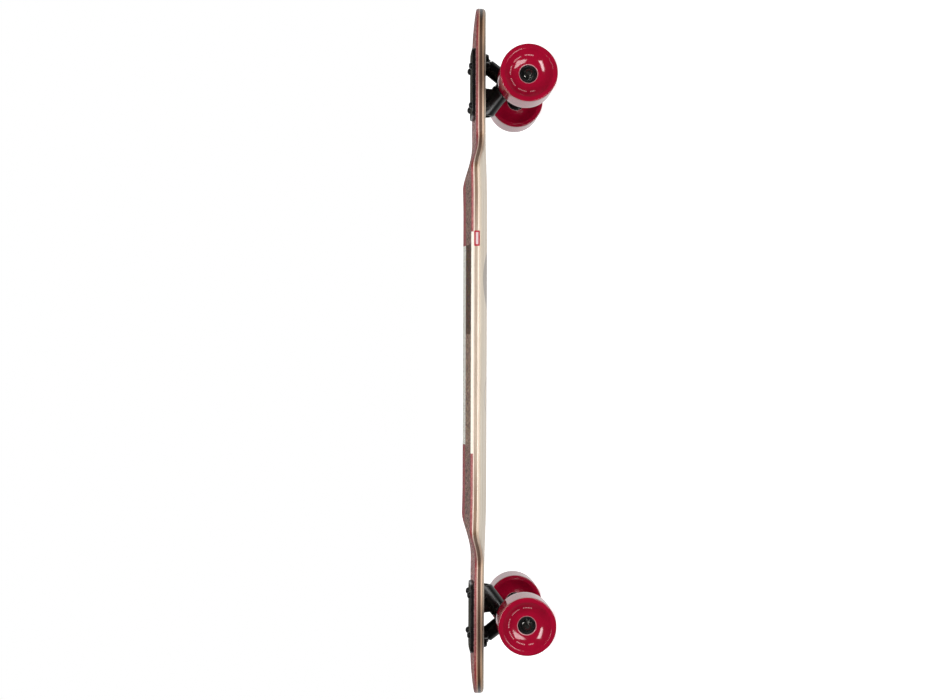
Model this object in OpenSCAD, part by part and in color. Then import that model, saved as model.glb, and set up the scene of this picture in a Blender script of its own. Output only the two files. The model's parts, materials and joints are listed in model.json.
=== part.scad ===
// Drop-through longboard: a laminated deck, two reverse-kingpin trucks and four urethane wheels.
// Millimetres. +X points to the nose, +Z is up, and the wheels stand on z = 0 under the board's centre.

/* [Deck] */
// Length of the deck from tip to tip
deck_length = 937; // [880:1:1000]
// Width of the standing platform
deck_width = 244; // [220:1:260]
// Width of the necks that carry the trucks
neck_width = 106; // [100:1:116]
// Distance from the centre to where the platform starts to narrow
flare_start = 233; // [200:1:240]
// Distance from the centre to where the neck begins
flare_end = 292; // [280:1:300]
// Radius of the side-to-side concave, measured on the underside
concave_radius = 539; // [450:1:900]
// Height of the platform's underside above the floor, on the centre line
deck_height = 84.5; // [82:0.5:90]
// Height by which the necks stand above the platform
neck_rise = 2.6; // [0.5:0.1:4]
// Thickness of the coarse grip sheet
grip_thickness = 0.9; // [0.6:0.1:1.5]
// Thickness of the printed top veneer
top_veneer_thickness = 2.6; // [1:0.1:3]
// Thickness of the pale ply under the top veneer
upper_ply_thickness = 1.4; // [1:0.1:3]
// Thickness of the dark middle plies
middle_ply_thickness = 4.0; // [2:0.1:5]
// Thickness of the pale ply above the bottom veneer
lower_ply_thickness = 2.6; // [1:0.1:3]
// Thickness of the bottom veneer
bottom_veneer_thickness = 1.6; // [1:0.1:3]

/* [Trucks] */
// Distance from the board's centre to each axle
axle_x = 357.5; // [345:0.5:362]
// Width of the hanger between its two bearing shoulders
hanger_width = 179; // [170:1:190]
// Length of threaded axle left outside each nut
axle_tail = 4.2; // [1:0.1:5]
// Diameter of the axle rod
axle_d = 7.9; // [7.8:0.05:7.9]
// Angle of the steering axis above the deck plane
steer_angle = 52.8; // [50:0.1:54]
// Distance from the axle to the centre of the bushing ring, along the steering axis
ring_offset = 20.7; // [20:0.1:22]
// Length of the baseplate
plate_length = 93; // [92:1:98]
// Width of the baseplate
plate_width = 62; // [58:1:66]
// Thickness of the baseplate's flange
plate_thickness = 5.4; // [5:0.1:9]
// Spacing of the deck bolts along the board
bolt_pitch_x = 53.98; // [53.98]
// Spacing of the deck bolts across the board
bolt_pitch_y = 41.28; // [41.28]
// Diameter of the kingpin's shank
kingpin_d = 9.4; // [9:0.1:9.5]
// Diameter of the bushings
bushing_d = 22.6; // [21:0.1:23]

/* [Wheels] */
// Diameter of the wheels
wheel_d = 75; // [70:1:76]
// Width of the wheels
wheel_width = 51; // [46:1:52]
// Diameter of the opening in the urethane around the bearing
hub_opening_d = 23.2; // [22.6:0.2:26]
// Balls in each bearing
ball_count = 7; // [5:1:7]

/* [Hidden] */

$fn = 64;
front = 1;
rear = -1;
left = 1;
right = -1;
both = [-1, 1];
beyond = 1;

// Deck
half_length = deck_length / 2;
half_width = deck_width / 2;
neck_half = neck_width / 2;
end_centre = half_length - neck_half;
flare_steps = 14;
end_steps = 12;
ramp_start = 205;
ramp_end = 300;
concave_strips = 16;
bend_z = deck_height + concave_radius;
wood_thickness = bottom_veneer_thickness + lower_ply_thickness + middle_ply_thickness
    + upper_ply_thickness + top_veneer_thickness;
deck_thickness = wood_thickness + grip_thickness;
cutout_in = -38;
cutout_out = 50;
cutout_half = 15.5;
cutout_r = 6;

// Truck, measured from the axle: x outboard, z up
axle_z = wheel_d / 2;
ring_x = ring_offset * cos(steer_angle);
ring_z = ring_offset * sin(steer_angle);
plate_x = 6.8;
plate_corner_r = 10;
seat_gap = 0.02;
plate_z = concave_z(plate_width / 2, deck_thickness) + neck_rise + seat_gap - axle_z;
plate_top = plate_z + plate_thickness;
bolt_x = 2.3;
bolt_hole_d = 5.5;
bolt_d = 4.8;
bolt_head_d = 9.6;
bolt_head_h = 4.7;
bolt_seat_d = 10.4;
bolt_seat_depth = 0.4;
bolt_socket_af = 3.2;
bolt_seat_z = plate_top - bolt_seat_depth;
nut_af = 9.5;
nut_h = 5;
nut_seat_z = concave_z((bolt_pitch_y - nut_af) / 2, 0) + neck_rise - axle_z;
bolt_tail = 1;
block_half = 12.3;
block_in = -36.5;
block_out = 48.6;
block_z = 50;

// Kingpin stack, measured along the kingpin from the ring's centre, positive towards the deck
ring_half = 4;
ring_r = 18.5;
ring_hole_r = 7.5;
bushing_gap = 0.02;
bushing_h = 13;
bushing_in_r = kingpin_d / 2 + 0.2;
bushing_r = bushing_d / 2;
bushing_bevel = 0.8;
road_taper = 1.2;
washer_h = 1;
cup_washer_h = 1.6;
boss_z = ring_half + bushing_h + washer_h;
collar_r = 12.9;
collar_h = 5;
web_half = 9;
web_foot = [0.2, 38.6];
web_out = 2.4;
pocket_r = 12.3;
boss_reach = 80;
head_seat_z = 44;
head_af = 14.2;
head_h = 7;
head_pocket_r = 8.6;
kingpin_tail = 30;
kingpin_nut_h = 8;

// Pivot, measured along the steering axis from the axle
housing_r = 8.6;
housing_swell = 3.4;
shoulder_r = 7.6;
wing_reach = 66;
arm_start = 28;
arm_end = 56.5;
arm_shift = 2.4;
arm_low_r = 11;
arm_high_r = 9.9;
nose_start = 57.5;
nose_r = 5.5;
nose_end = 66;
cup_gap = 0.05;
cup_start = 58.4;
cup_floor = 66.4;
cup_end = 67.6;
cup_r = 7.4;
cup_seat_r = 7.45;
pivot_housing_r = 11.6;
pivot_housing_z = 44.5;
arm_clear_r = 14;

// Wheel and bearing, measured along the axle
bearing_w = 7;
bearing_r = 11;
spacer_l = 10;
speed_washer_h = 0.95;
side_gap = 0.05;
axle_bore_r = axle_d / 2 + 0.03;
wheel_y = hanger_width / 2 + 2 * side_gap + speed_washer_h + bearing_w + spacer_l / 2;
bearing_y = (spacer_l + bearing_w) / 2;
ball_r = 1.98;
pitch_r = 7.5;
groove_r = 2.05;
inner_land_r = 5.95;
outer_land_r = 9.1;
shield_r = 9.6;
shield_seat = 0.7;
shield_h = 0.4;
cage_in_r = 6.9;
cage_out_r = 8.1;
cage_low = -1;
cage_high = 2.6;
axle_nut_af = 12.7;
axle_nut_h = 7.2;
axle_nut_y = wheel_y + spacer_l / 2 + bearing_w + side_gap + speed_washer_h + 0.02;
axle_half = axle_nut_y + axle_nut_h + axle_tail;
axle_chamfer = 0.8;
collar_nut_h = 2;
core_half = 13;
core_r = 17;
core_flange_r = 20;
core_seat_r = 8.2;
lip_in_r = wheel_d / 2 - 6;
edge_r = 1.2;
mouth_r = 0.9;
mouth_y = core_half + 1.6;

// ---- Helpers -------------------------------------------------------------------------------------

// Height in the platform at a distance y from the centre line, at a depth above the underside
function concave_z(y, depth) = bend_z - sqrt(pow(concave_radius - depth, 2) - y * y);

// Points of an arc around [cx, cy]
function arc(cx, cy, r, from, to, steps) =
    [for (i = [0:steps]) let (a = from + (to - from) * i / steps) [cx + r * cos(a), cy + r * sin(a)]];

// Half-width of the deck where the platform narrows to the neck
function flare_half(x) =
    neck_half + (half_width - neck_half) * (1 + cos(180 * (x - flare_start) / (flare_end - flare_start))) / 2;

// One quarter of the deck's outline, from the platform's corner out to just short of the tip
quarter = concat(
    [for (i = [0:flare_steps]) let (x = flare_start + (flare_end - flare_start) * i / flare_steps)
        [x, flare_half(x)]],
    [for (i = [0:end_steps - 1]) let (a = 90 - 90 * i / end_steps)
        [end_centre + neck_half * cos(a), neck_half * sin(a)]]
);

function reversed(list) = [for (i = [len(list) - 1:-1:0]) list[i]];

module deck_outline() {
    right_side = [for (p = reversed(quarter)) [p.x, -p.y]];
    rear_right = [for (p = quarter) [-p.x, -p.y]];
    rear_left = [for (p = reversed(quarter)) [-p.x, p.y]];
    polygon(concat(quarter, [[half_length, 0]], right_side, rear_right, [[-half_length, 0]], rear_left));
}

module rounded_rectangle(x0, x1, half, r) {
    polygon(concat(
        arc(x1 - r, half - r, r, 0, 90, 8),
        arc(x0 + r, half - r, r, 90, 180, 8),
        arc(x0 + r, r - half, r, 180, 270, 8),
        arc(x1 - r, r - half, r, 270, 360, 8)
    ));
}

module tube(outer_r, inner_r, h) {
    difference() {
        cylinder(r = outer_r, h = h);
        translate([0, 0, -beyond]) cylinder(r = inner_r, h = h + 2 * beyond);
    }
}

module hexagon(across_flats, h) {
    cylinder(d = across_flats / cos(30), h = h, $fn = 6);
}

// A hexagonal nut or head with its corners chamfered at both ends, with a bore if bore_d is given
module hex_nut(across_flats, h, bore_d) {
    corner_r = across_flats / 2 / cos(30);
    chamfer = 1.2 * (corner_r - across_flats / 2);
    difference() {
        intersection() {
            hexagon(across_flats, h);
            rotate_extrude() polygon([
                [0, 0], [corner_r - chamfer, 0], [corner_r, chamfer * tan(30)],
                [corner_r, h - chamfer * tan(30)], [corner_r - chamfer, h], [0, h]
            ]);
        }
        if (bore_d > 0)
            translate([0, 0, -beyond]) cylinder(d = bore_d, h = h + 2 * beyond);
    }
}

// Puts a truck part on the front or the rear truck, with the axle's centre as its origin
module at_truck(end) {
    mirror([end == front ? 0 : 1, 0, 0]) translate([axle_x, 0, axle_z]) children();
}

// Turns +Z along the kingpin, towards the deck, from the ring's centre
module on_kingpin() {
    translate([ring_x, 0, ring_z]) rotate([0, -steer_angle, 0]) children();
}

// Turns +Z along the steering axis, towards the pivot, from the axle
module on_steering_axis() {
    rotate([0, 90 - steer_angle, 0]) children();
}

// Turns +Z along +Y
module along_axle() {
    rotate([-90, 0, 0]) children();
}

// Puts a wheel part at one of the four wheels, with +Z along the axle
module at_wheel(end, side) {
    translate([end * axle_x, side * wheel_y, axle_z]) along_axle() children();
}

module at_deck_bolts() {
    for (end = [front, rear], i = both, side = both)
        at_truck(end) translate([bolt_x + i * bolt_pitch_x / 2, side * bolt_pitch_y / 2, 0]) children();
}

// ---- Deck ----------------------------------------------------------------------------------------

// One layer of the deck at full width: a level platform, two ramps and two level necks
module bent_sheet(depth_low, depth_high) {
    reach = half_length + beyond;
    across = [for (i = [-concave_strips:concave_strips]) i / concave_strips * (half_width + beyond)];
    // Distance along the board and rise above the platform of each bend
    bends = [[-reach, neck_rise], [-ramp_end, neck_rise], [-ramp_start, 0],
        [ramp_start, 0], [ramp_end, neck_rise], [reach, neck_rise]];
    rows = len(across);
    columns = len(bends);
    function at(layer, row, column) = (layer * rows + row) * columns + column;
    polyhedron(
        points = [for (depth = [depth_low, depth_high], y = across, bend = bends)
            [bend.x, y, concave_z(y, depth) + bend.y]],
        faces = concat(
            [for (i = [0:rows - 2], j = [0:columns - 2])
                [at(0, i, j), at(0, i, j + 1), at(0, i + 1, j + 1), at(0, i + 1, j)]],
            [for (i = [0:rows - 2], j = [0:columns - 2])
                [at(1, i, j), at(1, i + 1, j), at(1, i + 1, j + 1), at(1, i, j + 1)]],
            [for (j = [0:columns - 2]) [at(0, 0, j), at(1, 0, j), at(1, 0, j + 1), at(0, 0, j + 1)]],
            [for (j = [0:columns - 2], i = [rows - 1])
                [at(0, i, j), at(0, i, j + 1), at(1, i, j + 1), at(1, i, j)]],
            [for (i = [0:rows - 2]) [at(0, i, 0), at(0, i + 1, 0), at(1, i + 1, 0), at(1, i, 0)]],
            [for (i = [0:rows - 2], j = [columns - 1])
                [at(0, i, j), at(1, i, j), at(1, i + 1, j), at(0, i + 1, j)]]
        )
    );
}

// One layer of the deck, cut to the outline and opened for the trucks
module layer(depth_low, depth_high) difference() {
    intersection() {
        bent_sheet(depth_low, depth_high);
        linear_extrude(height = deck_height + half_width) deck_outline();
    }
    for (end = [front, rear])
        at_truck(end) linear_extrude(height = deck_height)
            rounded_rectangle(cutout_in, cutout_out, cutout_half, cutout_r);
    at_deck_bolts() cylinder(d = bolt_hole_d, h = deck_height, $fn = 32);
}

bottom_veneer_top = bottom_veneer_thickness;
lower_ply_top = bottom_veneer_top + lower_ply_thickness;
middle_ply_top = lower_ply_top + middle_ply_thickness;
upper_ply_top = middle_ply_top + upper_ply_thickness;

module bottom_veneer() color("BurlyWood") layer(0, bottom_veneer_top);

module lower_core_ply() color("Wheat") layer(bottom_veneer_top, lower_ply_top);

module middle_core_plies() color("SaddleBrown") layer(lower_ply_top, middle_ply_top);

module upper_core_ply() color("BlanchedAlmond") layer(middle_ply_top, upper_ply_top);

module top_veneer() color("Firebrick") layer(upper_ply_top, wood_thickness);

module grip_sheet() color("RosyBrown") layer(wood_thickness, deck_thickness);

// Domed machine screws, heads on the baseplates
module deck_bolts() color("DimGray") at_deck_bolts() {
    tail_z = nut_seat_z - nut_h - bolt_tail;
    rim = 0.8;
    translate([0, 0, tail_z]) cylinder(d = bolt_d, h = bolt_seat_z - tail_z, $fn = 32);
    translate([0, 0, bolt_seat_z]) difference() {
        rotate_extrude($fn = 32) polygon(concat(
            [[0, 0], [bolt_head_d / 2, 0]],
            [for (a = [0:15:75]) [bolt_head_d / 2 * cos(a), rim + (bolt_head_h - rim) * sin(a)]],
            [[0, bolt_head_h]]
        ));
        translate([0, 0, bolt_head_h / 2]) hexagon(bolt_socket_af, bolt_head_h);
    }
}

// Lock nuts under the deck
module deck_nuts() color("Black") at_deck_bolts()
    translate([0, 0, nut_seat_z - nut_h]) hex_nut(nut_af, nut_h, bolt_d + 0.02);

// ---- Baseplate and kingpin -----------------------------------------------------------------------

module baseplate_body() {
    plate_in = plate_x - plate_length / 2;
    plate_out = plate_x + plate_length / 2;
    // Flange that rests on the deck
    translate([0, 0, plate_z]) linear_extrude(height = plate_thickness)
        rounded_rectangle(plate_in, plate_out, plate_width / 2, plate_corner_r);
    // Web that drops into the deck's opening
    translate([0, 0, block_z]) linear_extrude(height = plate_z + beyond - block_z)
        rounded_rectangle(block_in, block_out, block_half, 4);
    // Kingpin boss
    intersection() {
        on_kingpin() union() {
            translate([0, 0, boss_z]) cylinder(r = block_half, h = boss_reach);
            translate([0, 0, boss_z]) cylinder(r = collar_r, h = collar_h);
        }
        translate([block_in, -collar_r, 0]) cube([block_out - block_in, 2 * collar_r, plate_z + beyond]);
    }
    // Web between the boss and the flange
    translate([0, web_half, 0]) rotate([90, 0, 0]) linear_extrude(height = 2 * web_half) polygon([
        web_foot, [web_out, plate_z + beyond], [block_in, plate_z + beyond],
        [block_in, ring_z + (ring_x - block_in) * tan(90 - steer_angle)]
    ]);
    // Pivot housing
    intersection() {
        on_steering_axis() translate([0, 0, cup_start + 0.5]) cylinder(r = pivot_housing_r, h = 20);
        translate([block_in, -collar_r, pivot_housing_z])
            cube([block_out - block_in, 2 * collar_r, plate_z + beyond - pivot_housing_z]);
    }
}

module baseplate(end) color("DarkSlateGray") at_truck(end) difference() {
    baseplate_body();
    // Shank hole
    on_kingpin() cylinder(d = kingpin_d + 0.04, h = head_seat_z + beyond);
    // Pocket for the kingpin's head, under the flange and open on the inboard side
    intersection() {
        on_kingpin() translate([0, 0, head_seat_z]) cylinder(r = head_pocket_r, h = boss_reach);
        translate([block_in - beyond, -collar_r, 0]) cube([plate_length, 2 * collar_r, plate_z]);
    }
    on_steering_axis() {
        // Seat of the pivot cup
        cylinder(r = cup_seat_r, h = cup_end + 0.02);
        // Clearance around the hanger's arm
        cylinder(r = arm_clear_r, h = cup_start + 0.5);
    }
    // Bolt holes, with a flat seat sunk into the flange for each head
    for (i = both, side = both)
        translate([bolt_x + i * bolt_pitch_x / 2, side * bolt_pitch_y / 2, 0]) {
            translate([0, 0, plate_z - beyond])
                cylinder(d = bolt_hole_d, h = plate_thickness + beyond, $fn = 32);
            translate([0, 0, bolt_seat_z]) cylinder(d = bolt_seat_d, h = plate_thickness, $fn = 32);
        }
}

module pivot_cup(end) color("Gray") at_truck(end) on_steering_axis() difference() {
    translate([0, 0, cup_start]) cylinder(r = cup_r, h = cup_end - cup_start);
    translate([0, 0, cup_start - beyond])
        cylinder(r = nose_r + cup_gap, h = cup_floor - cup_start + beyond);
}

module kingpins() color("Silver") for (end = [front, rear]) at_truck(end) on_kingpin() {
    translate([0, 0, -kingpin_tail]) cylinder(d = kingpin_d, h = kingpin_tail + head_seat_z);
    translate([0, 0, head_seat_z]) hex_nut(head_af, head_h, 0);
}

module kingpin_nuts() color("Silver") for (end = [front, rear]) at_truck(end) on_kingpin()
    translate([0, 0, -ring_half - bushing_h - cup_washer_h - kingpin_nut_h]) {
        translate([0, 0, collar_nut_h]) hex_nut(head_af, kingpin_nut_h - collar_nut_h, kingpin_d + 0.02);
        tube(head_af / 2 - 0.7, kingpin_d / 2 + 0.01, collar_nut_h);
    }

// Flat washer above the board-side bushing and a cupped one under the road-side bushing
module bushing_washers() color("Silver") for (end = [front, rear]) at_truck(end) on_kingpin() {
    translate([0, 0, boss_z - washer_h])
        tube(bushing_d / 2 + 0.2, kingpin_d / 2 + 0.1, washer_h - bushing_gap);
    translate([0, 0, -ring_half - bushing_h - cup_washer_h]) rotate_extrude() polygon([
        [kingpin_d / 2 + 0.1, 0], [bushing_d / 2 - 1, 0], [bushing_d / 2 + 0.6, 1.2],
        [bushing_d / 2 + 0.6, cup_washer_h + 1.2], [bushing_d / 2 - 0.9, cup_washer_h + 1.2],
        [bushing_d / 2 - 0.9, cup_washer_h], [kingpin_d / 2 + 0.1, cup_washer_h]
    ]);
}

module boardside_bushing(end) color("Black") at_truck(end) on_kingpin() {
    low = ring_half + bushing_gap;
    high = ring_half + bushing_h - bushing_gap;
    rotate_extrude() polygon([
        [bushing_in_r, low], [bushing_r - bushing_bevel, low], [bushing_r, low + bushing_bevel],
        [bushing_r, high - bushing_bevel], [bushing_r - bushing_bevel, high], [bushing_in_r, high]
    ]);
}

// Tapers towards the kingpin's nut
module roadside_bushing(end) color("Black") at_truck(end) on_kingpin() {
    high = -ring_half - bushing_gap;
    low = -ring_half - bushing_h + bushing_gap;
    rotate_extrude() polygon([
        [bushing_in_r, high], [bushing_r - bushing_bevel, high], [bushing_r, high - bushing_bevel],
        [bushing_r - road_taper, low + bushing_bevel], [bushing_r - road_taper - bushing_bevel, low],
        [bushing_in_r, low]
    ]);
}

// ---- Hanger and axle -----------------------------------------------------------------------------

module hanger(end) color("DarkSlateGray") at_truck(end) difference() {
    union() {
        // Axle housing, thickest beside the ring and tapering to the bearing shoulders
        along_axle() rotate_extrude() polygon(concat(
            [[0, -hanger_width / 2], [shoulder_r, -hanger_width / 2], [housing_r, 1 - hanger_width / 2]],
            [for (a = [-90:9:90])
                [housing_r + housing_swell * pow(cos(a), 2), a / 90 * (hanger_width / 2 - 9)]],
            [[housing_r, hanger_width / 2 - 1], [shoulder_r, hanger_width / 2], [0, hanger_width / 2]]
        ));
        on_kingpin() {
            // Bushing ring
            cylinder(r = ring_r, h = 2 * ring_half, center = true);
            // Wings that taper from the ring to the axle housing
            linear_extrude(height = 2 * ring_half, center = true) for (side = both) polygon([
                [-ring_offset - 4, 0], [-ring_offset - 4, side * wing_reach],
                [6 - ring_offset, side * wing_reach], [12 - ring_offset, side * 0.6 * wing_reach],
                [-3, side * (ring_r - 0.5)], [ring_r / 2, side * 16], [ring_r / 2, 0]
            ]);
        }
        // Arm, set a little towards the boss, then the pivot nose
        on_steering_axis() translate([-arm_shift, 0, arm_start])
            cylinder(r1 = arm_low_r, r2 = arm_high_r, h = arm_end - arm_start);
        on_steering_axis() rotate_extrude() polygon(concat(
            [[0, arm_start], [8.5, arm_start], [8.5, arm_end - 1], [7.4, arm_end], [nose_r, nose_start]],
            arc(0, nose_end - nose_r, nose_r, 0, 75, 5),
            [[0, nose_end]]
        ));
    }
    along_axle() cylinder(d = axle_d + 0.04, h = hanger_width + 2 * beyond, center = true);
    on_kingpin() {
        cylinder(r = ring_hole_r, h = 4 * ring_half, center = true);
        // Bushing pockets above and below the ring
        translate([0, 0, ring_half]) cylinder(r = pocket_r, h = 2 * bushing_h);
        translate([0, 0, -ring_half - 2 * bushing_h]) cylinder(r = pocket_r, h = 2 * bushing_h);
    }
}

module axle(end) color("Silver") at_truck(end) along_axle() rotate_extrude($fn = 48) polygon([
    [0, -axle_half], [axle_d / 2 - axle_chamfer, -axle_half], [axle_d / 2, axle_chamfer - axle_half],
    [axle_d / 2, axle_half - axle_chamfer], [axle_d / 2 - axle_chamfer, axle_half], [0, axle_half]
]);

module axle_nuts(end) color("Silver") for (side = both)
    translate([end * axle_x, 0, axle_z]) along_axle() mirror([0, 0, side == left ? 0 : 1])
        translate([0, 0, axle_nut_y]) {
            hex_nut(axle_nut_af, axle_nut_h - collar_nut_h, axle_d + 0.02);
            translate([0, 0, axle_nut_h - collar_nut_h])
                tube(axle_nut_af / 2 - 0.7, axle_d / 2 + 0.01, collar_nut_h);
        }

// A thin washer against each side of each pair of bearings
module speed_washers(end) color("Silver") for (side = both, i = both)
    at_wheel(end, side)
        translate([0, 0, i * (bearing_y + bearing_w / 2 + side_gap + speed_washer_h / 2)])
            translate([0, 0, -speed_washer_h / 2]) tube(5.7, axle_bore_r, speed_washer_h);

module bearing_spacers(end) color("Silver") for (side = both)
    at_wheel(end, side) translate([0, 0, -spacer_l / 2]) tube(5.3, axle_bore_r, spacer_l);

// ---- Bearings ------------------------------------------------------------------------------------

// Places a bearing part at both bearings of a wheel
module at_bearings(end, side) {
    for (i = both) at_wheel(end, side) translate([0, 0, i * bearing_y]) children();
}

module ball_groove() {
    rotate_extrude() translate([pitch_r, 0]) circle(r = groove_r, $fn = 48);
}

module inner_races(end) color("LightGray") for (side = both) at_bearings(end, side) difference() {
    translate([0, 0, -bearing_w / 2]) tube(inner_land_r, axle_bore_r, bearing_w);
    ball_groove();
}

module outer_races(end, side) color("LightGray") at_bearings(end, side) difference() {
    translate([0, 0, -bearing_w / 2]) tube(bearing_r, outer_land_r, bearing_w);
    ball_groove();
    for (i = both) translate([0, 0, i * (bearing_w - shield_seat) / 2])
        cylinder(r = shield_r, h = shield_seat + 0.001, center = true);
}

module shields(end, side) color("DimGray") at_bearings(end, side) for (i = both)
    translate([0, 0, i * (bearing_w / 2 - shield_seat + shield_h / 2 + 0.02) - shield_h / 2])
        tube(shield_r - 0.02, inner_land_r + 0.35, shield_h);

module balls(end, side) color("Silver") at_bearings(end, side) for (k = [0:ball_count - 1])
    rotate(k * 360 / ball_count) translate([pitch_r, 0, 0]) sphere(r = ball_r, $fn = 32);

// Crown cages that keep the balls apart
module cages(end, side) color("Peru") at_bearings(end, side) difference() {
    translate([0, 0, cage_low]) tube(cage_out_r, cage_in_r, cage_high - cage_low);
    for (k = [0:ball_count - 1])
        rotate(k * 360 / ball_count) translate([pitch_r, 0, 0]) sphere(r = ball_r + 0.08, $fn = 32);
}

// ---- Wheel ---------------------------------------------------------------------------------------

// Bearing seats joined by a web, with a flange that keys the urethane
module core(end, side) color("Black") at_wheel(end, side) rotate_extrude() polygon([
    [bearing_r, core_half - 0.4], [bearing_r + 0.4, core_half],
    [core_r - 1, core_half], [core_r, core_half - 1],
    [core_r, 4], [core_flange_r, 3], [core_flange_r, -3], [core_r, -4],
    [core_r, 1 - core_half], [core_r - 1, -core_half],
    [bearing_r + 0.4, -core_half], [bearing_r, 0.4 - core_half],
    [bearing_r, -spacer_l / 2], [core_seat_r, -spacer_l / 2],
    [core_seat_r, spacer_l / 2], [bearing_r, spacer_l / 2]
]);

// Half of the urethane's section on one side, from the hub opening over the dished face and lip to the tread
function tyre_side() = concat(
    [[core_r - 1, core_half], [hub_opening_d / 2, core_half]],
    arc(hub_opening_d / 2 + mouth_r, mouth_y, mouth_r, 180, 90, 3),
    [for (t = [0.2:0.2:1]) [hub_opening_d / 2 + 1.3 + (lip_in_r - hub_opening_d / 2 - 1.6) * t,
        mouth_y + mouth_r + (wheel_width / 2 - mouth_y - 2 * mouth_r) * (1 - cos(90 * t))]],
    [[lip_in_r, wheel_width / 2 - 0.6]],
    arc(wheel_d / 2 - edge_r, wheel_width / 2 - edge_r, edge_r, 90, 0, 4)
);

module tyre(end, side) color("Firebrick") at_wheel(end, side) rotate_extrude($fn = 96) polygon(concat(
    tyre_side(),
    [for (p = reversed(tyre_side())) [p.x, -p.y]],
    [[core_r, 1 - core_half], [core_r, -4], [core_flange_r, -3], [core_flange_r, 3], [core_r, 4],
        [core_r, core_half - 1]]
));

// ---- Assembly ------------------------------------------------------------------------------------

grip_sheet();
top_veneer();
upper_core_ply();
middle_core_plies();
lower_core_ply();
bottom_veneer();
deck_bolts();
deck_nuts();
baseplate(front);  // front_baseplate
baseplate(rear);  // rear_baseplate
pivot_cup(front);  // front_pivot_cup
pivot_cup(rear);  // rear_pivot_cup
kingpins();
kingpin_nuts();
bushing_washers();
boardside_bushing(front);  // front_boardside_bushing
roadside_bushing(front);  // front_roadside_bushing
boardside_bushing(rear);  // rear_boardside_bushing
roadside_bushing(rear);  // rear_roadside_bushing
hanger(front);  // front_hanger
hanger(rear);  // rear_hanger
axle(front);  // front_axle
axle(rear);  // rear_axle
axle_nuts(front);  // front_axle_nuts
axle_nuts(rear);  // rear_axle_nuts
speed_washers(front);  // front_speed_washers
speed_washers(rear);  // rear_speed_washers
bearing_spacers(front);  // front_bearing_spacers
bearing_spacers(rear);  // rear_bearing_spacers
inner_races(front);  // front_inner_races
inner_races(rear);  // rear_inner_races
tyre(front, left);  // front_left_tyre
tyre(front, right);  // front_right_tyre
tyre(rear, left);  // rear_left_tyre
tyre(rear, right);  // rear_right_tyre
core(front, left);  // front_left_core
core(front, right);  // front_right_core
core(rear, left);  // rear_left_core
core(rear, right);  // rear_right_core
outer_races(front, left);  // front_left_outer_races
outer_races(front, right);  // front_right_outer_races
outer_races(rear, left);  // rear_left_outer_races
outer_races(rear, right);  // rear_right_outer_races
shields(front, left);  // front_left_shields
shields(front, right);  // front_right_shields
shields(rear, left);  // rear_left_shields
shields(rear, right);  // rear_right_shields
balls(front, left);  // front_left_balls
balls(front, right);  // front_right_balls
balls(rear, left);  // rear_left_balls
balls(rear, right);  // rear_right_balls
cages(front, left);  // front_left_cages
cages(front, right);  // front_right_cages
cages(rear, left);  // rear_left_cages
cages(rear, right);  // rear_right_cages
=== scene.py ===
"""Looks for the drop-through longboard: its deck, cast trucks and urethane wheels, around the CAD frame."""
import json
import math

import bmesh
import bpy
import numpy as np
from mathutils import Matrix, Vector
from mathutils.geometry import delaunay_2d_cdt


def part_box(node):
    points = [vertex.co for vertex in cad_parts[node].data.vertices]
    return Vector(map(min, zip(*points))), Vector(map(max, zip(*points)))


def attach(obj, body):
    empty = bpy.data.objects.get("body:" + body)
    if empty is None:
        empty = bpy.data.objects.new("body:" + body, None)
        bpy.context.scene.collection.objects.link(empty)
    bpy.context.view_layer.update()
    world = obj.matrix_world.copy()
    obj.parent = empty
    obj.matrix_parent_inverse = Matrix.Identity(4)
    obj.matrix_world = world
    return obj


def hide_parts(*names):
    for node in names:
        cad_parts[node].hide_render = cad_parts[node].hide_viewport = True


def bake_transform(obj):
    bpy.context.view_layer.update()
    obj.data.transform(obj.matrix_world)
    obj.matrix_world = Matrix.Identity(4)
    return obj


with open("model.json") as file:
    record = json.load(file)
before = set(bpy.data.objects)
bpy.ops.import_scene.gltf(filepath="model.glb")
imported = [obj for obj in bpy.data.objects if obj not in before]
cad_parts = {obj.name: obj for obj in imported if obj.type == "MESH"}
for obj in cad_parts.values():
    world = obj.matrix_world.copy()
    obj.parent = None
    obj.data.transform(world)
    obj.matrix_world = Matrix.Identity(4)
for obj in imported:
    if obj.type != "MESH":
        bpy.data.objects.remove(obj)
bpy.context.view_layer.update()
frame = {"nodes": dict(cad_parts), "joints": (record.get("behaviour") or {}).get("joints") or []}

MM = 0.001
ENDS = {"front": 1, "rear": -1}
SIDES = {"left": 1, "right": -1}
JOINTS = {j["name"]: j for j in frame["joints"]}

# ---- Node graphs ----------------------------------------------------------------------------------


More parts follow.
